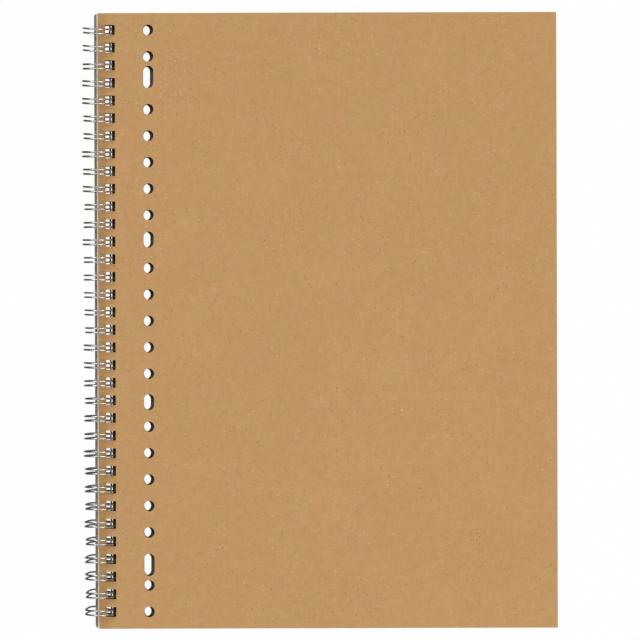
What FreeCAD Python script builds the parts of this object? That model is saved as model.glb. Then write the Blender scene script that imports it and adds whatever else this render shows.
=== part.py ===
import FreeCAD, Part
import os
from math import asin, atan, cos, degrees, hypot, radians, sin, sqrt

# A wire-bound notebook lying shut with its front cover up, in millimetres.
# X runs from the wire to the fore-edge, Y to the head, Z up. The origin is the
# middle of the foot of the whole object's box: the wire rings touch Z = 0.
# Inside this script the rings' common axis is the line x = 0, z = 0, and the
# finished pieces are moved to the object's own origin at the very end.

# Sheets
sheet_width = 210.0          # what is left of a sheet once it is torn out
tear_strip = 10.6            # the strip that stays on the wire
sheet_height = 295.6
block_thickness = 5.0        # all the sheets together
cover_thickness = 0.5        # front cover, plain card
board_thickness = 0.8        # back cover, stiff board
cover_setback = 0.63         # front cover's spine edge, back from the sheets'
board_setback = 0.34         # back cover's spine edge, back from the sheets'
cover_overhang = 0.1         # front cover's fore-edge, beyond the sheets'
sheet_corner = 1.1           # spine corners of the sheets and the back cover
cover_corner = 0.5           # spine corners of the front cover

# Wire
loop_pitch = 25.4 / 3.0      # three loops to the inch
wire_diameter = 0.8
ring_diameter = 14.3         # to the middle of the wire
leg_spacing = 2.1            # between the two legs of one loop
root_bend = 1.6              # bend from a leg into the run to the next loop
end_stub = 1.0               # cut end left beyond the first and last loop
tip_gap = 0.15               # between a loop's closed tip and the bends of its own roots

# Binding holes
hole_width = 4.9             # across the spine
hole_side_gap = 0.9          # beside the legs, along the spine
hole_outer_gap = 0.75        # outside the widest part of the ring
end_margin = 8.0             # least distance from a hole's middle to head or foot

# Filing holes
filing_offset = 18.35        # from the middle of the binding holes
filing_diameter = 5.1
filing_pitch = 12.7          # half an inch
binder_spacing = 80.0        # between the rings of a four-ring binder
inner_slot = 7.7             # end to end
outer_slot = 10.7
least_web = 1.0              # material left between two holes

# How the pieces sit in the ring
back_lift = 1.55             # back cover's underside above the foot of the rings
ring_clearance = 0.42        # back cover's spine edge inside the rings
board_slip = 0.35            # back cover's holes, towards the spine from the wire's middle
seam_clearance = 0.1         # above and below the runs, between sheets and board
fore_edge_gap = 0.05         # between sheets and board where they meet

wire_radius = wire_diameter / 2.0
ring_radius = ring_diameter / 2.0
ring_outer = ring_radius + wire_radius
ring_inner = ring_radius - wire_radius
leg_offset = leg_spacing / 2.0

# Heights, from the back cover up. The runs between the loops lie in the gap
# between the back cover and the last sheet.
board_bottom = back_lift - ring_outer
board_top = board_bottom + board_thickness
run_height = board_top + seam_clearance + wire_radius
block_bottom = run_height + wire_radius + seam_clearance
block_top = block_bottom + block_thickness

# Places across the spine
hole_x = ring_outer + hole_outer_gap - hole_width / 2.0
hole_height = leg_spacing + wire_diameter + 2.0 * hole_side_gap
wire_in_board = sqrt(ring_inner**2 - board_bottom**2)
wire_out_board = sqrt(ring_outer**2 - board_top**2)
board_hole_x = (wire_in_board + wire_out_board) / 2.0 - board_slip
board_left = -sqrt((ring_inner - ring_clearance)**2 - board_bottom**2)
hole_margin = board_hole_x - board_left + board_setback
page_width = sheet_width + tear_strip
block_left = hole_x - hole_margin
block_right = block_left + page_width
cover_left = block_left + cover_setback
cover_right = block_right + cover_overhang
board_right = board_left - board_setback + page_width
board_tilt = atan((block_bottom - board_top - fore_edge_gap) / (board_right - board_hole_x))

# The object's own origin, seen from the rings' axis
middle_x = (cover_right - ring_outer) / 2.0
origin_shift = FreeCAD.Vector(-middle_x, 0.0, ring_outer)

# The legs stop where the bends into the runs begin, and the runs lie at run_height.
# A loop's round tip closes into the mouth between the bends of its own two roots.
root_reach = hypot(ring_radius, root_bend)
run_angle = asin(run_height / root_reach)
root_angle = run_angle + atan(root_bend / ring_radius)
mouth_reach = leg_offset + root_bend
tip_reach = sqrt((mouth_reach + wire_diameter + tip_gap)**2 - mouth_reach**2)
tip_angle = root_angle - tip_reach / ring_radius
leg_sweep = 360.0 + degrees(tip_angle - root_angle)
run_length = loop_pitch - leg_spacing - 2.0 * root_bend

along_spine = FreeCAD.Vector(0.0, 1.0, 0.0)
ring_axis_point = FreeCAD.Vector(0.0, 0.0, 0.0)


def centred_row(pitch):
    """Places along the spine, as many as the sheet's height takes."""
    steps = int((sheet_height - 2.0 * end_margin) / pitch)
    first = -steps * pitch / 2.0
    return [first + step * pitch for step in range(steps + 1)]


def sheet_outline(left, right, z, corner):
    """A sheet's edge: round corners at the spine, square ones at the fore-edge."""
    top = sheet_height / 2.0
    inset = corner * (1.0 - cos(radians(45.0)))
    foot_corner = Part.Arc(
        FreeCAD.Vector(left, -top + corner, z),
        FreeCAD.Vector(left + inset, -top + inset, z),
        FreeCAD.Vector(left + corner, -top, z),
    )
    head_corner = Part.Arc(
        FreeCAD.Vector(left + corner, top, z),
        FreeCAD.Vector(left + inset, top - inset, z),
        FreeCAD.Vector(left, top - corner, z),
    )
    foot_right = FreeCAD.Vector(right, -top, z)
    head_right = FreeCAD.Vector(right, top, z)
    edges = [
        foot_corner,
        Part.LineSegment(foot_corner.EndPoint, foot_right),
        Part.LineSegment(foot_right, head_right),
        Part.LineSegment(head_right, head_corner.StartPoint),
        head_corner,
        Part.LineSegment(head_corner.EndPoint, foot_corner.StartPoint),
    ]
    return Part.Wire([edge.toShape() for edge in edges])


def square_hole(x, y, z):
    """One binding hole."""
    corner = FreeCAD.Vector(x - hole_width / 2.0, y - hole_height / 2.0, z)
    return Part.makePlane(hole_width, hole_height, corner).OuterWire


def round_hole(x, y, z):
    """One filing hole."""
    centre = FreeCAD.Vector(x, y, z)
    circle = Part.Circle(centre, FreeCAD.Vector(0.0, 0.0, 1.0), filing_diameter / 2.0)
    return Part.Wire([circle.toShape()])


def slot_hole(x, y, z, length):
    """A filing hole drawn out along the spine, with round ends."""
    radius = filing_diameter / 2.0
    reach = (length - filing_diameter) / 2.0
    head_end = Part.Arc(
        FreeCAD.Vector(x + radius, y + reach, z),
        FreeCAD.Vector(x, y + reach + radius, z),
        FreeCAD.Vector(x - radius, y + reach, z),
    )
    foot_end = Part.Arc(
        FreeCAD.Vector(x - radius, y - reach, z),
        FreeCAD.Vector(x, y - reach - radius, z),
        FreeCAD.Vector(x + radius, y - reach, z),
    )
    edges = [
        head_end,
        Part.LineSegment(head_end.EndPoint, foot_end.StartPoint),
        foot_end,
        Part.LineSegment(foot_end.EndPoint, head_end.StartPoint),
    ]
    return Part.Wire([edge.toShape() for edge in edges])


def filing_slots():
    """Slots as (place, length): each takes in a hole of the row and a binder's ring."""
    slots = []
    for ring_place, length in ((binder_spacing / 2.0, inner_slot), (1.5 * binder_spacing, outer_slot)):
        row_place = min(centred_row(filing_pitch), key=lambda place: abs(place - ring_place))
        middle = (row_place + ring_place) / 2.0
        slots += [(middle, length), (-middle, length)]
    return slots


def punched_sheet(left, right, bottom, thickness, hole_middle, corner):
    """A flat sheet, cover or block of sheets with all its holes."""
    filing_x = hole_middle + filing_offset
    wires = [sheet_outline(left, right, bottom, corner)]
    wires += [square_hole(hole_middle, y, bottom) for y in centred_row(loop_pitch)]
    slots = filing_slots()
    wires += [slot_hole(filing_x, y, bottom, length) for y, length in slots]
    for y in centred_row(filing_pitch):
        room = [abs(y - place) - (length + filing_diameter) / 2.0 for place, length in slots]
        if min(room) >= least_web:
            wires.append(round_hole(filing_x, y, bottom))
    face = Part.makeFace(wires, "Part::FaceMakerBullseye")
    return face.extrude(FreeCAD.Vector(0.0, 0.0, thickness))


def ring_tangent(angle):
    """Direction of travel round the ring, over the top towards the spine side."""
    return FreeCAD.Vector(-sin(angle), 0.0, cos(angle))


class BentWire:
    """Skin of a round wire, drawn out straight or round bends from one end."""

    def __init__(self, start, heading):
        self.place = start
        self.section = Part.Circle(start, heading, wire_radius).toShape()
        self.skin = [Part.Face(Part.Wire([self.section]))]

    def straight(self, run):
        self.skin.append(self.section.extrude(run))
        self.section = self.section.translated(run)
        self.place = self.place + run

    def bend(self, centre, axis, angle):
        self.skin.append(self.section.revolve(centre, axis, angle))
        self.section = self.section.rotated(centre, axis, angle)
        turn = FreeCAD.Rotation(axis, angle)
        self.place = centre + turn.multVec(self.place - centre)

    def solid(self):
        self.skin.append(Part.Face(Part.Wire([self.section])))
        shell = Part.makeShell(self.skin)
        shell.sewShape()
        body = Part.makeSolid(shell)
        if body.Volume < 0.0:
            body.reverse()
        return body


def binding_wire():
    """One wire bent into twin-legged loops, each closed by a round tip."""
    root_tangent = ring_tangent(root_angle)
    tip_tangent = ring_tangent(tip_angle)
    root = FreeCAD.Vector(ring_radius * cos(root_angle), 0.0, ring_radius * sin(root_angle))
    places = centred_row(loop_pitch)
    first_y = places[0] - leg_offset - root_bend - end_stub
    start = root - root_tangent * root_bend + along_spine * first_y
    wire = BentWire(start, along_spine)
    wire.straight(along_spine * end_stub)
    for place in places:
        wire.bend(wire.place + root_tangent * root_bend, along_spine.cross(root_tangent), 90.0)
        wire.bend(ring_axis_point, -along_spine, leg_sweep)
        wire.bend(wire.place + along_spine * leg_offset, tip_tangent.cross(along_spine), 180.0)
        wire.bend(ring_axis_point, along_spine, leg_sweep)
        wire.bend(wire.place + along_spine * root_bend, along_spine.cross(root_tangent), 90.0)
        wire.straight(along_spine * (end_stub if place == places[-1] else run_length))
    return wire.solid()


def front_cover():
    return punched_sheet(cover_left, cover_right, block_top, cover_thickness, hole_x, cover_corner)


def page_block():
    return punched_sheet(block_left, block_right, block_bottom, block_thickness, hole_x, sheet_corner)


def back_cover():
    """The back cover leans on the runs of the wire and meets the sheets at the fore-edge."""
    board = punched_sheet(
        board_left, board_right, board_bottom, board_thickness, board_hole_x, sheet_corner
    )
    return board.rotated(ring_axis_point, -along_spine, degrees(board_tilt))


pieces = {
    "front_cover": front_cover(),
    "page_block": page_block(),
    "back_cover": back_cover(),
    "binding_wire": binding_wire(),
}

os.makedirs("parts", exist_ok=True)
for name, shape in pieces.items():
    placed = shape.translated(origin_shift)
    placed.exportStep(os.path.join("parts", name + ".step"))
    print(name, "valid" if placed.isValid() else "not valid", round(placed.Volume, 1), "mm3")

# The sheets turn about the rings' axis, the front cover about the sheets' top spine edge
cover_hinge = FreeCAD.Vector(block_left, 0.0, block_top) + origin_shift
print("rings' axis", [round(value, 4) for value in origin_shift])
print("front cover's hinge", [round(value, 4) for value in cover_hinge])
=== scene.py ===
import bpy
import math
import random
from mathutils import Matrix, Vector


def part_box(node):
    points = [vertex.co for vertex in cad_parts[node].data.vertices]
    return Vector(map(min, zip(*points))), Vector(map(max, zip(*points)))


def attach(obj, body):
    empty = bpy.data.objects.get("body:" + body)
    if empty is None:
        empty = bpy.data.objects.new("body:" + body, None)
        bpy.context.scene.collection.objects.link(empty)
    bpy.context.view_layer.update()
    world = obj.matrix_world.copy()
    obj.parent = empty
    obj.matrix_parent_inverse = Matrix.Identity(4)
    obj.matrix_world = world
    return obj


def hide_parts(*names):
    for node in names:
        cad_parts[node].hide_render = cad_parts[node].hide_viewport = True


# A kraft-covered, wire-bound notebook seen from straight above on a white table.
# The two covers keep the frame's own meshes; the wire and the sheets are remodelled here.

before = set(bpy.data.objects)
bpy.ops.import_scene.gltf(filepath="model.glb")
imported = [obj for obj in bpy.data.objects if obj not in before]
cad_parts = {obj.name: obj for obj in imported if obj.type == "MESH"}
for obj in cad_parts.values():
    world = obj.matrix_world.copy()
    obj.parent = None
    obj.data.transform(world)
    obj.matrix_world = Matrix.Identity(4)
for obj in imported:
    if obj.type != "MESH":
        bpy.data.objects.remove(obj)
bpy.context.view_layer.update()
mm = 0.001


# Node maths

class Value:  # one output socket, so that sums on it read as sums
    def __init__(self, finish, socket):
        self.finish = finish
        self.socket = socket

    def maths(self, operation, first, second):
        return self.finish.node("ShaderNodeMath", {"operation": operation}, {0: first, 1: second})

    def __add__(self, other):
        return self.maths("ADD", self, other)

    def __radd__(self, other):
        return self.maths("ADD", other, self)

    def __sub__(self, other):
        return self.maths("SUBTRACT", self, other)

    def __rsub__(self, other):
        return self.maths("SUBTRACT", other, self)

    def __mul__(self, other):
        return self.maths("MULTIPLY", self, other)

    def __rmul__(self, other):
        return self.maths("MULTIPLY", other, self)

    def __truediv__(self, other):
        return self.maths("DIVIDE", self, other)

    def __gt__(self, other):
        return self.maths("GREATER_THAN", self, other)

    def __lt__(self, other):
        return self.maths("LESS_THAN", self, other)


class Finish:  # a material and the nodes in it
    def __init__(self, name, tree=None):
        if tree is None:
            self.material = bpy.data.materials.new(name)
            self.material.use_nodes = True
            tree = self.material.node_tree
        self.tree = tree
        self.tree.nodes.clear()

    def node(self, kind, settings, inputs, output=0):
        made = self.tree.nodes.new(kind)
        for key, setting in settings.items():
            if key == "stops":
                for place, (position, grey) in enumerate(setting):
                    ramp = made.color_ramp.elements
                    stop = ramp[place] if place < 2 else ramp.new(position)
                    stop.position = position
                    stop.color = (grey, grey, grey, 1)
            else:
                setattr(made, key, setting)
        for key, given in inputs.items():
            if isinstance(given, Value):
                self.tree.links.new(given.socket, made.inputs[key])
            else:
                made.inputs[key].default_value = given
        if kind.startswith("ShaderNodeOutput"):
            return None
        return Value(self, made.outputs[output])

    def place(self):  # where on the piece, in metres
        return self.node("ShaderNodeTexCoord", {}, {}, "Object")

    def stretched(self, place, across, along, up):
        scales = (across, along, up)
        return self.node("ShaderNodeVectorMath", {"operation": "MULTIPLY"}, {0: place, 1: scales})

    def parts(self, place):
        return [self.node("ShaderNodeSeparateXYZ", {}, {0: place}, axis) for axis in ("X", "Y", "Z")]

    def noise(self, place, perMetre, detail=2.0, rough=0.5):
        wanted = {"Vector": place, "Scale": perMetre, "Detail": detail, "Roughness": rough}
        return self.node("ShaderNodeTexNoise", {}, wanted, "Fac")

    def step(self, given, low, high, bottom=0.0, top=1.0):
        wanted = {"Value": given, "From Min": low, "From Max": high, "To Min": bottom, "To Max": top}
        return self.node("ShaderNodeMapRange", {"interpolation_type": "SMOOTHSTEP"}, wanted)

    def mix(self, share, first, second, how="MIX"):
        settings = {"data_type": "RGBA", "blend_type": how}
        return self.node("ShaderNodeMix", settings, {0: share, 6: first, 7: second}, 2)

    def shade(self, colour, level):  # a colour made darker or lighter
        shaded = colour if isinstance(colour, Value) else colour[:3]
        return self.node("ShaderNodeVectorMath", {"operation": "SCALE"}, {0: shaded, 3: level})

    def facing(self):  # which way the surface faces, on the piece's own axes
        return self.parts(self.node("ShaderNodeTexCoord", {}, {}, "Normal"))

    def cutSide(self):  # 1 on upright cut edges and 0 on flat faces
        up = self.facing()[2]
        return self.step(up * up, 0.5, 0.3)

    def rays(self):  # 1 for rays from the camera or through glass, and 1 for mirrored ones
        direct, through, mirrored = [
            self.node("ShaderNodeLightPath", {}, {}, name)
            for name in ("Is Camera Ray", "Is Transmission Ray", "Is Glossy Ray")
        ]
        return direct + through, mirrored

    def bump(self, height, depth, strength):
        wanted = {"Height": height, "Distance": depth, "Strength": strength}
        return self.node("ShaderNodeBump", {}, wanted)

    def surface(self, wanted):
        shader = self.node("ShaderNodeBsdfPrincipled", {}, wanted)
        self.node("ShaderNodeOutputMaterial", {}, {0: shader})
        return self.material


def linear(red, green, blue):  # a screen colour, 0 to 255, as the renderer takes it
    def channel(level):
        level = level / 255
        return level / 12.92 if level < 0.04045 else ((level + 0.055) / 1.055) ** 2.4
    return (channel(red), channel(green), channel(blue), 1)


def flecks(finish, place, perMetre, share, size):  # sparse round spots, 1 inside a spot
    wanted = {"Vector": place, "Scale": perMetre}
    settings = {"feature": "F1"}
    cells = finish.node("ShaderNodeTexVoronoi", settings, wanted, "Distance")
    owner = finish.node("ShaderNodeTexVoronoi", settings, wanted, "Color")
    chosen = finish.parts(owner)[0] < share
    return finish.step(cells, size, size * 0.5) * chosen


# Front cover

kraftCard = {
    "deep": linear(171, 127, 77),
    "pale": linear(211, 167, 117),
    "yellower": (0.98, 1.02, 0.967, 1),   # tints of the patches in the same card
    "pinker": (1.008, 0.992, 1.013, 1),
    "patches": 100,            # to the metre
    "clouds": (40, 0.17),      # to the metre, and share of the tone
    "mottle": (240, 0.32),
    "pulp": (1100, 0.29),
    "grain": 0.17,             # streaks along and across the card
    "fibres": 0.135,
    "darkened": 0.06,          # taken off the whole tone
    "fleckDark": linear(150, 110, 70),
    "fleckLight": linear(216, 180, 138),
    "darkFlecks": (760, 0.16, 0.65),   # cells to the metre, share with a fleck, and strength
    "lightFlecks": (720, 0.18, 0.55),
    "fleckSize": 0.3,          # of a cell
    # cut edges: partly the card's own edge colour, darkened as painted shade for the hole walls
    "cutEdge": linear(128, 94, 60),
    "roughness": 0.82,
    "loopShade": 0.22,            # painted shade of the loops, darker beside the spine
    "loopShadeWidth": (5.6 * mm, 2.4 * mm),   # from the spine edge, where that begins and is full
}


def kraftFinish():
    kraft = Finish("kraftCard")
    place = kraft.place()
    cloudPitch, cloudShare = kraftCard["clouds"]
    mottlePitch, mottleShare = kraftCard["mottle"]
    pulpPitch, pulpShare = kraftCard["pulp"]
    clouds = kraft.noise(place, cloudPitch, 3, 0.6)
    mottle = kraft.noise(place, mottlePitch, 4, 0.65)
    pulp = kraft.noise(place, pulpPitch, 3, 0.6)
    grainAlong = kraft.noise(kraft.stretched(place, 1300, 140, 900), 1, 2)
    grainAcross = kraft.noise(kraft.stretched(place, 180, 1400, 900), 1, 2)
    grain = (grainAlong + grainAcross) * kraftCard["grain"]
    tone = clouds * cloudShare + mottle * mottleShare + pulp * pulpShare + grain - kraftCard["darkened"]
    lying = kraft.noise(kraft.stretched(place, 330, 1500, 300), 1, 2, 0.6)
    standing = kraft.noise(kraft.stretched(place, 1400, 300, 300), 1, 2, 0.6)
    fibres = kraft.step(lying, 0.58, 0.70) - kraft.step(standing, 0.58, 0.70)
    tone = tone + fibres * kraftCard["fibres"]
    inward = kraft.parts(place)[0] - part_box("front_cover")[0].x
    # painted shade: the loops' shadow on the cover, darker towards the spine edge
    margin = kraft.step(inward, *kraftCard["loopShadeWidth"])
    tone = tone - margin * kraftCard["loopShade"]
    patchPlace = kraft.stretched(place, 1.0, 1.0, 3.0)
    patch = kraft.step(kraft.noise(patchPlace, kraftCard["patches"], 3), 0.3, 0.7)
    colour = kraft.mix(tone, kraftCard["deep"], kraftCard["pale"])
    tint = kraft.mix(patch, kraftCard["pinker"], kraftCard["yellower"])
    colour = kraft.mix(1.0, colour, tint, "MULTIPLY")
    gathered = kraft.step(kraft.noise(place, 75, 2), 0.38, 0.58, 0.35, 1.0)   # flecks lie in drifts
    for flattened, kind, fleck in (
        ((1.0, 0.6, 1.0), "darkFlecks", "fleckDark"),
        ((0.6, 1.0, 1.0), "lightFlecks", "fleckLight"),
    ):
        pitch, share, strength = kraftCard[kind]
        spots = flecks(kraft, kraft.stretched(place, *flattened), pitch, share, kraftCard["fleckSize"])
        colour = kraft.mix(spots * gathered * strength, colour, kraftCard[fleck])
    # upright cut edges, the hole walls among them, take the darker colour, partly painted shade
    colour = kraft.mix(kraft.cutSide(), colour, kraftCard["cutEdge"])
    return kraft.surface({
        "Base Color": colour,
        "Roughness": kraftCard["roughness"] + mottle * 0.08,
        "Specular IOR Level": 0.25,
        "Normal": kraft.bump(pulp + grainAlong * 0.5, 0.05 * mm, 0.35),
    })


# Back cover

greyBoard = {
    # painted light and shade: the board is lighter on the bare ledge and edges beside the sheets, and
    # darker under them, where the holes show it
    "face": linear(118, 113, 102),
    "litLedge": linear(150, 147, 132),      # wherever no sheet covers it
    "ledge": 1.9 * mm,           # width that shows beside the sheets
    "level": 0.84,               # of the face, before the next three lighten it
    "clouds": 0.12,
    "pulp": 0.14,
    "layers": 0.06,
    "fibreDark": linear(96, 90, 78),
    "fibreLight": linear(190, 184, 170),
    "darkFibres": (380, 0.3, 0.2, 0.45),   # cells to the metre, share with one, size, strength
    "lightFibres": (460, 0.22, 0.18, 0.4),
    "roughness": 0.88,
}


def boardFinish():
    board = Finish("greyBoard")
    place = board.place()
    clouds = board.noise(place, 60, 4, 0.6)
    pulp = board.noise(place, 700, 4, 0.65)
    layers = board.noise(board.stretched(place, 90, 90, 4200), 1, 2)
    inward = board.parts(place)[0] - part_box("back_cover")[0].x
    ledge = greyBoard["ledge"]
    # painted light on the bare ledge and edges, painted shade on the covered face
    covered = board.step(inward, ledge * 0.7, ledge) * (board.facing()[2] > 0.5)
    face = board.mix(covered, greyBoard["litLedge"], greyBoard["face"])
    uneven = clouds * greyBoard["clouds"] + pulp * greyBoard["pulp"] + layers * greyBoard["layers"]
    colour = board.shade(face, uneven + greyBoard["level"])
    for flattened, kind, fibre in (
        ((1.0, 0.5, 1.0), "darkFibres", "fibreDark"),
        ((0.5, 1.0, 1.0), "lightFibres", "fibreLight"),
    ):
        pitch, share, size, strength = greyBoard[kind]
        spots = flecks(board, board.stretched(place, *flattened), pitch, share, size)
        colour = board.mix(spots * strength, colour, greyBoard[fibre])
    return board.surface({
        "Base Color": colour,
        "Roughness": greyBoard["roughness"],
        "Specular IOR Level": 0.2,
        "Normal": board.bump(pulp + clouds, 0.08 * mm, 0.5),
    })


# Sheets

sheets = {
    "count": 50,
    "paper": linear(238, 232, 220),
    "cutEdge": linear(232, 225, 212),
    # painted shade for the hole walls, a near-black in place of the paper's own colour
    "holeShade": linear(34, 28, 20),
    "rule": linear(170, 186, 204),
    "rulePitch": 8 * mm,
    "ruleWidth": 0.22 * mm,
    "headMargin": 28 * mm,
    "footMargin": 12 * mm,
    "tearLine": 10.6 * mm,   # from the spine edge
    "tearPitch": 1.1 * mm,   # of the fine cuts along that line
    "tearWidth": 0.18 * mm,
    "tearDepth": 0.45,       # how dark the cuts are
    "level": 0.965,          # of the paper, before fibres and clouds lighten it
    "fibres": 0.03,
    "clouds": 0.025,
    "edgeLevel": 0.82,       # the same for the cut edges, and how unlike the sheets are there
    "edgeSpread": 0.32,
    "slack": 0.05 * mm,      # how far one sheet's edge lies from the next
    "gap": 0.012 * mm,       # the shadow between two sheets
}


def paperFinish():
    paper = Finish("whitePaper")
    low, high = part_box("page_block")
    place = paper.place()
    x, y = paper.parts(place)[:2]
    side = paper.cutSide()
    fibres = paper.noise(place, 900, 3)
    clouds = paper.noise(place, 45, 2)
    level = sheets["level"] + fibres * sheets["fibres"] + clouds * sheets["clouds"]
    colour = paper.shade(sheets["paper"], level)
    # pale rules across every sheet, clear of the head margin and of the strip at the wire
    rows = (high.y - sheets["headMargin"] - y) / sheets["rulePitch"]
    fromRule = paper.node("ShaderNodeMath", {"operation": "PINGPONG"}, {0: rows, 1: 0.5})
    ruled = fromRule < (0.5 * sheets["ruleWidth"] / sheets["rulePitch"])
    inside = (rows > -0.2) * (x > low.x + sheets["tearLine"]) * (y > low.y + sheets["footMargin"])
    colour = paper.mix(ruled * inside * (1 - side), colour, sheets["rule"])
    # the line of fine cuts that a sheet tears along
    along = y / sheets["tearPitch"]
    dash = paper.node("ShaderNodeMath", {"operation": "PINGPONG"}, {0: along, 1: 0.5})
    across = x - (low.x + sheets["tearLine"])
    fromTear = paper.node("ShaderNodeMath", {"operation": "ABSOLUTE"}, {0: across})
    cuts = (fromTear < sheets["tearWidth"] / 2) * (dash < 0.32) * (1 - side)
    # the cuts take the same dark colour as the painted hole shade
    colour = paper.mix(cuts * sheets["tearDepth"], colour, sheets["holeShade"])
    # cut edges: each sheet a slightly different tone
    leaf = paper.noise(paper.stretched(place, 6, 6, 9000), 1, 1)
    edge = paper.shade(sheets["cutEdge"], sheets["edgeLevel"] + leaf * sheets["edgeSpread"])
    colour = paper.mix(side, colour, edge)
    holeShade = paper.node("ShaderNodeAttribute", {"attribute_name": "holeShade"}, {}, "Fac")
    towardsLight = paper.step(paper.facing()[0], 0.1, 0.8)   # walls facing the fore-edge stay paper; the other hole walls get painted shade
    # painted shade on the hole walls that face away from the fore-edge
    colour = paper.mix(holeShade * side * (1 - towardsLight), colour, sheets["holeShade"])
    return paper.surface({
        "Base Color": colour,
        "Roughness": 0.85,
        "Specular IOR Level": 0.2,
        "Normal": paper.bump(fibres, 0.03 * mm, 0.3),
    })


def boundaryLoops(faces):  # closed runs of vertex numbers round a set of faces
    used = {}
    for corners in faces:
        for start, end in zip(corners, corners[1:] + corners[:1]):
            used[(start, end)] = True
    following = {start: end for start, end in used if (end, start) not in used}
    loops = []
    while following:
        start, end = following.popitem()
        loop = [start]
        while end != start:
            loop.append(end)
            end = following.pop(end)
        loops.append(loop)
    return loops


def micron(point):  # a point's numbers, whole and safe to compare
    return tuple(round(part * 1e6) for part in point)


def sheetStack(name, solid):
    low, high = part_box("page_block")
    chance = random.Random(8)
    joined = {}
    corners = []
    numbers = []
    for vertex in solid.data.vertices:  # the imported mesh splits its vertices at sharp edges
        key = micron(vertex.co)
        if key not in joined:
            joined[key] = len(corners)
            corners.append(vertex.co.copy())
        numbers.append(joined[key])
    level = 0.1 * mm  # faces within this of the top or foot are the flat ones
    flat = {"top": [], "foot": []}
    walls = []
    for face in solid.data.polygons:
        ring = [numbers[vertex] for vertex in face.vertices]
        heights = [corners[vertex].z for vertex in ring]
        if min(heights) > high.z - level:
            flat["top"].append(ring)
        elif max(heights) < low.z + level:
            flat["foot"].append(ring)
        else:
            walls.append(ring)
    outer = max(boundaryLoops(flat["top"]), key=lambda loop: max(corners[v].x for v in loop))
    below = {micron(corners[v].xy): v for loop in boundaryLoops(flat["foot"]) for v in loop}
    outline = [corners[v] for v in outer]
    foot = [below[micron(point.xy)] for point in outline]
    rims = set(outer + foot)
    holeFaces = [ring for ring in walls if rims.isdisjoint(ring)]
    faces = flat["top"] + flat["foot"]
    marks = [0] * len(faces) + [1] * len(holeFaces)
    faces = faces + holeFaces
    middle = (low + high) / 2
    above = outer
    count = sheets["count"]
    thick = (high.z - low.z) / count
    for sheet in range(count):
        pull = chance.uniform(0, sheets["slack"])
        skew = chance.uniform(0, sheets["slack"])
        top = high.z - sheet * thick
        for height in (top - sheets["gap"], top - thick + sheets["gap"]):
            row = []
            for point in outline:
                inX = pull if point.x > middle.x else skew
                inY = skew if point.y > middle.y else pull
                row.append(len(corners))
                corners.append(Vector((
                    point.x - math.copysign(inX, point.x - middle.x),
                    point.y - math.copysign(inY, point.y - middle.y),
                    height,
                )))
            faces += bandBetween(above, row)
            marks += [0] * len(outline)
            above = row
    faces += bandBetween(above, foot)
    marks += [0] * len(outline)
    stack = meshPiece(name, corners, faces)
    # marks the hole walls, where the painted shade goes
    attribute = stack.data.attributes.new("holeShade", "FLOAT", "FACE")
    attribute.data.foreach_set("value", [float(mark) for mark in marks])
    return stack


def bandBetween(above, row):  # quads between two closed rows that run the same way
    size = len(row)
    return [[above[(i + 1) % size], above[i], row[i], row[(i + 1) % size]] for i in range(size)]


def meshPiece(name, corners, faces):
    mesh = bpy.data.meshes.new(name)
    mesh.from_pydata([tuple(corner) for corner in corners], [], faces)
    mesh.validate()
    piece = bpy.data.objects.new(name, mesh)
    bpy.context.scene.collection.objects.link(piece)
    return piece


# Binding wire

wire = {
    "diameter": 0.8 * mm,
    "loopPitch": 25.4 / 3 * mm,
    "loops": 34,
    "legSpacing": 2.1 * mm,
    "rootBend": 1.6 * mm,
    "endStub": 1.0 * mm,
    "runHeight": -4.7 * mm,    # the runs between the loops, below the rings' axis
    "tipGap": 0.15 * mm,
    "sides": 12,
    "legSteps": 66,
    "reach": (0.0, -0.75 * mm, -0.9 * mm),   # of the left ends, at the head, middle and foot
    "reachSpread": 0.28 * mm,
    "reachLimits": (-1.4 * mm, 0.25 * mm),
    "bendSteps": 5,
    "tipSteps": 10,
    "lean": 0.16 * mm,         # spread of the left ends up and down the page
    "headPull": 0.75 * mm,     # the first loops at the head are dragged towards the foot
    "headRaise": 0.3 * mm,     # and their left ends stand off the other way
    "headShift": 1.3 * mm,     # and their tops are pushed out, away from the cover
    "headFade": 7.0,           # loops
    "pullStart": 0.7,          # radians past the root, over which that pull grows
    "underSweep": (0.3 * mm, 1.3 * mm),   # lower halves swept headwards, at the head and foot
    "silver": linear(196, 196, 194),
    "shadedTone": 0.28,              # painted shade: tone left deep in the holes, where the tips close against the roots
    "shadeBelow": (5.0 * mm, 3.4 * mm),     # heights where that begins and is full
    "shadeBeyond": (7.5 * mm, 9.5 * mm),    # and distances from the left ends
    "slip": -0.25 * mm,        # how far the wire lies towards the foot of the page
    "roughness": 0.26,
}


def wireFinish():
    silver = Finish("silverWire")
    place = silver.place()
    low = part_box("binding_wire")[0]
    x, _, z = silver.parts(place)
    drawn = silver.noise(place, 1600, 3, 0.6)
    worn = silver.noise(place, 300, 2)
    # painted shade on the wire low down in the holes, far from the left ends
    tipShade = silver.step(z - low.z, *wire["shadeBelow"]) * silver.step(x - low.x, *wire["shadeBeyond"])
    colour = silver.shade(wire["silver"], (0.88 + worn * 0.2) * (1 - tipShade * (1 - wire["shadedTone"])))
    return silver.surface({
        "Base Color": colour,
        "Metallic": 1.0,
        "Roughness": wire["roughness"] + drawn * 0.12,
        "Normal": silver.bump(drawn, 0.01 * mm, 0.2),
    })


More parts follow.
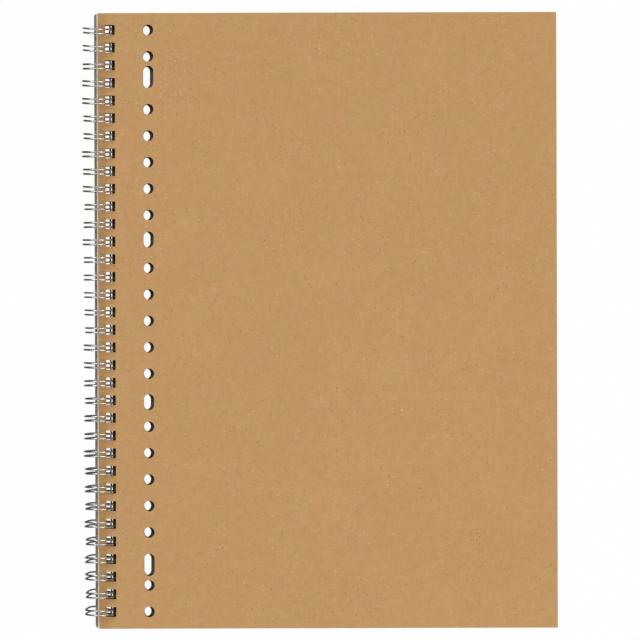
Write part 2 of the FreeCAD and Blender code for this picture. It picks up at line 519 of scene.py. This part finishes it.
def ringWire(name):
    low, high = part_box("binding_wire")
    radius = (high.z - low.z - wire["diameter"]) / 2
    centre = Vector((low.x + wire["diameter"] / 2 + radius, wire["slip"], (low.z + high.z) / 2))
    legOffset = wire["legSpacing"] / 2
    runAngle = math.asin(wire["runHeight"] / math.hypot(radius, wire["rootBend"]))
    rootAngle = runAngle + math.atan(wire["rootBend"] / radius)
    mouth = legOffset + wire["rootBend"]
    tipReach = math.sqrt((mouth + wire["diameter"] + wire["tipGap"]) ** 2 - mouth ** 2)
    tipAngle = 2 * math.pi + rootAngle - tipReach / radius
    chance = random.Random(21)
    path = []

    def eased(share):  # 0 to 1, gently at both ends
        share = min(1, max(0, share))
        return share * share * (3 - 2 * share)

    def onRing(angle, y, bent):  # angle 0 lies inside the holes, and a straight angle at the left end
        side = max(0, -math.cos(angle)) ** 1.5
        over = max(0, math.sin(angle)) ** 2
        held = eased((angle - rootAngle) / wire["pullStart"]) * eased((math.pi - angle) / (math.pi / 2))
        under = math.sin(math.pi * max(0, angle - math.pi) / (tipAngle - math.pi)) ** 2
        reach = radius + bent["bulge"] * side
        path.append(centre + Vector((
            reach * math.cos(angle) + bent["shift"] * over,
            y + bent["lean"] * side + bent["pull"] * held + bent["sweep"] * under,
            reach * math.sin(angle),
        )))

    def roundBend(middle, first, second, turn, steps):  # from middle + first towards second
        for step in range(1, steps + 1):
            angle = turn * step / steps
            path.append(middle + first * math.cos(angle) + second * math.sin(angle))

    along = Vector((0, 1, 0))
    rootTangent = Vector((-math.sin(rootAngle), 0, math.cos(rootAngle)))
    tipTangent = Vector((-math.sin(tipAngle), 0, math.cos(tipAngle)))
    rootPoint = centre + Vector((radius * math.cos(rootAngle), 0, radius * math.sin(rootAngle)))
    bend = wire["rootBend"]
    loops = wire["loops"]
    first = -(loops - 1) * wire["loopPitch"] / 2
    path.append(rootPoint - rootTangent * bend + along * (first - legOffset - bend - wire["endStub"]))
    path.append(rootPoint - rootTangent * bend + along * (first - legOffset - bend))
    for loop in range(loops):
        y = first + loop * wire["loopPitch"]
        down = 1 - 2 * loop / (loops - 1)    # -1 at the head, 1 at the foot
        near = math.exp((loop - loops + 1) / wire["headFade"])
        atHead, atMiddle, atFoot = wire["reach"]
        shortest, longest = wire["reachLimits"]
        usual = atMiddle + (atMiddle - atHead if down < 0 else atFoot - atMiddle) * down
        bent = {
            "bulge": min(longest, max(shortest, chance.gauss(usual, wire["reachSpread"]))),
            "lean": chance.gauss(0, wire["lean"]) + wire["headRaise"] * near,
            "pull": -wire["headPull"] * near,
            "shift": -wire["headShift"] * near,
            "sweep": wire["underSweep"][down > 0] * down ** 2,
        }
        middle = rootPoint + along * (y - legOffset - bend)
        roundBend(middle, -rootTangent * bend, along * bend, math.pi / 2, wire["bendSteps"])
        for step in range(1, wire["legSteps"] + 1):
            angle = rootAngle + (tipAngle - rootAngle) * step / wire["legSteps"]
            onRing(angle, y - legOffset, bent)
        tip = centre + Vector((radius * math.cos(tipAngle), y, radius * math.sin(tipAngle)))
        roundBend(tip, -along * legOffset, tipTangent * legOffset, math.pi, wire["tipSteps"])
        for step in range(1, wire["legSteps"] + 1):
            angle = tipAngle + (rootAngle - tipAngle) * step / wire["legSteps"]
            onRing(angle, y + legOffset, bent)
        middle = rootPoint + along * (y + legOffset + bend)
        roundBend(middle, -along * bend, -rootTangent * bend, math.pi / 2, wire["bendSteps"])
        if loop < loops - 1:
            nextBend = y + wire["loopPitch"] - legOffset - bend
            path.append(rootPoint - rootTangent * bend + along * nextBend)
    path.append(path[-1] + along * wire["endStub"])
    return sweptRound(name, path, wire["diameter"] / 2, wire["sides"])


def sweptRound(name, path, radius, sides):  # a round bar along a path, with flat cut ends
    corners = []
    faces = []
    headings = []
    for place in range(len(path)):
        before = path[max(0, place - 1)]
        after = path[min(len(path) - 1, place + 1)]
        headings.append((after - before).normalized())
    across = headings[0].orthogonal().normalized()
    for place, point in enumerate(path):
        if place:
            across = headings[place - 1].rotation_difference(headings[place]) @ across
        across = (across - headings[place] * across.dot(headings[place])).normalized()
        upward = headings[place].cross(across)
        for side in range(sides):
            angle = 2 * math.pi * side / sides
            corners.append(point + (across * math.cos(angle) + upward * math.sin(angle)) * radius)
    for place in range(len(path) - 1):
        here = place * sides
        beyond = here + sides
        for side in range(sides):
            onward = (side + 1) % sides
            faces.append([here + side, here + onward, beyond + onward, beyond + side])
    faces.append(list(range(sides))[::-1])
    faces.append(list(range(len(corners) - sides, len(corners))))
    bar = meshPiece(name, corners, faces)
    bar.data.polygons.foreach_set("use_smooth", [len(face) == 4 for face in faces])
    return bar


# Table, light and camera

studio = {
    "tableSize": 6.0,
    "tableAlbedo": 0.8,
    "tableGlow": 0.97,        # share of the table that is plain white to the camera
    "tableInGlossy": 0.12,    # how bright that white is in the wire
    "skyLevel": 0.3,
    "zenithInGlossy": 0.95,
    "horizonInGlossy": 0.04,
    "skyFade": (0.15, 0.85),  # heights between which the one turns into the other
    "lampSize": 1.0,
    "lampDistance": 2.6,
    "lamps": ((-32, 33.0), (148, 26.5)),   # degrees round from the fore-edge side, and power
    "lampHeight": 53,         # degrees above the table
}

photo = {
    "size": 640,              # pixels each way
    "pixelsPerMm": 2.083,     # at the front cover's face
    "distance": 2.0,          # camera above the cover
    "sensor": 36,
    "roll": 0.16,             # degrees that the notebook leans on the picture
    "middle": (0.1 * mm, 0.18 * mm),   # where on the cover the picture's middle falls
}


def whiteTable():
    half = studio["tableSize"] / 2
    square = [(-half, -half, 0), (half, -half, 0), (half, half, 0), (-half, half, 0)]
    table = meshPiece("table", square, [[0, 1, 2, 3]])
    finish = Finish("whiteTable")
    seen, mirrored = finish.rays()
    grain = finish.noise(finish.place(), 20, 2)
    paint = finish.shade((1, 1, 1), studio["tableAlbedo"] + grain * 0.01)
    matt = finish.node("ShaderNodeBsdfDiffuse", {}, {"Color": paint})
    share = (seen + mirrored) * studio["tableGlow"]
    level = seen + mirrored * studio["tableInGlossy"]
    white = finish.node("ShaderNodeEmission", {}, {"Color": (1, 1, 1, 1), "Strength": level})
    both = finish.node("ShaderNodeMixShader", {}, {0: share, 1: matt, 2: white})
    finish.node("ShaderNodeOutputMaterial", {}, {0: both})
    table.data.materials.append(finish.material)


def whiteSky():
    world = bpy.data.worlds.new("studioSky")
    bpy.context.scene.world = world
    world.use_nodes = True
    sky = Finish("studioSky", world.node_tree)
    seen, mirrored = sky.rays()
    height = sky.parts(sky.node("ShaderNodeTexCoord", {}, {}, "Generated"))[2]
    fade = (*studio["skyFade"], studio["horizonInGlossy"], studio["zenithInGlossy"])
    level = seen + mirrored * sky.step(height, *fade) + (1 - seen - mirrored) * studio["skyLevel"]
    light = sky.node("ShaderNodeBackground", {}, {"Color": (1, 1, 1, 1), "Strength": level})
    sky.node("ShaderNodeOutputWorld", {}, {0: light})


def softLight(name, turn, power):
    lamp = bpy.data.lights.new(name, "AREA")
    lamp.shape = "DISK"
    lamp.size = studio["lampSize"]
    lamp.energy = power
    turn = math.radians(turn)
    height = math.radians(studio["lampHeight"])
    away = Vector((math.cos(turn) * math.cos(height), math.sin(turn) * math.cos(height), math.sin(height)))
    holder = bpy.data.objects.new(name, lamp)
    holder.location = away * studio["lampDistance"]
    holder.rotation_euler = away.to_track_quat("Z", "Y").to_euler()
    bpy.context.scene.collection.objects.link(holder)


def overheadCamera(coverHeight):
    scene = bpy.context.scene
    lens = bpy.data.cameras.new("overhead")
    view = bpy.data.objects.new("overhead", lens)
    scene.collection.objects.link(view)
    scene.camera = view
    across = photo["size"] / photo["pixelsPerMm"] * mm
    lens.sensor_width = photo["sensor"]
    lens.lens = photo["sensor"] * photo["distance"] / across
    view.location = (*photo["middle"], coverHeight + photo["distance"])
    view.rotation_euler = (0, 0, math.radians(-photo["roll"]))
    lens.clip_end = 20


# Putting it together

bpy.context.scene.view_settings.view_transform = "Standard"
overheadCamera(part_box("front_cover")[1].z)
whiteSky()
whiteTable()
for number, (turn, power) in enumerate(studio["lamps"]):
    softLight("lamp%d" % number, turn, power)
print("table, light and camera are set")

for node, finished in (("front_cover", kraftFinish()), ("back_cover", boardFinish())):
    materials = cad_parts[node].data.materials
    materials.clear()
    materials.append(finished)
print("covers are finished")

stack = sheetStack("sheetStack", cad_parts["page_block"])
stack.data.materials.append(paperFinish())
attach(stack, "pages")
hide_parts("page_block")
print("sheets are stacked:", len(stack.data.polygons), "faces")

loops = ringWire("twinLoopWire")
loops.data.materials.append(wireFinish())
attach(loops, "base")
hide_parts("binding_wire")
print("wire is wound:", len(loops.data.polygons), "faces")
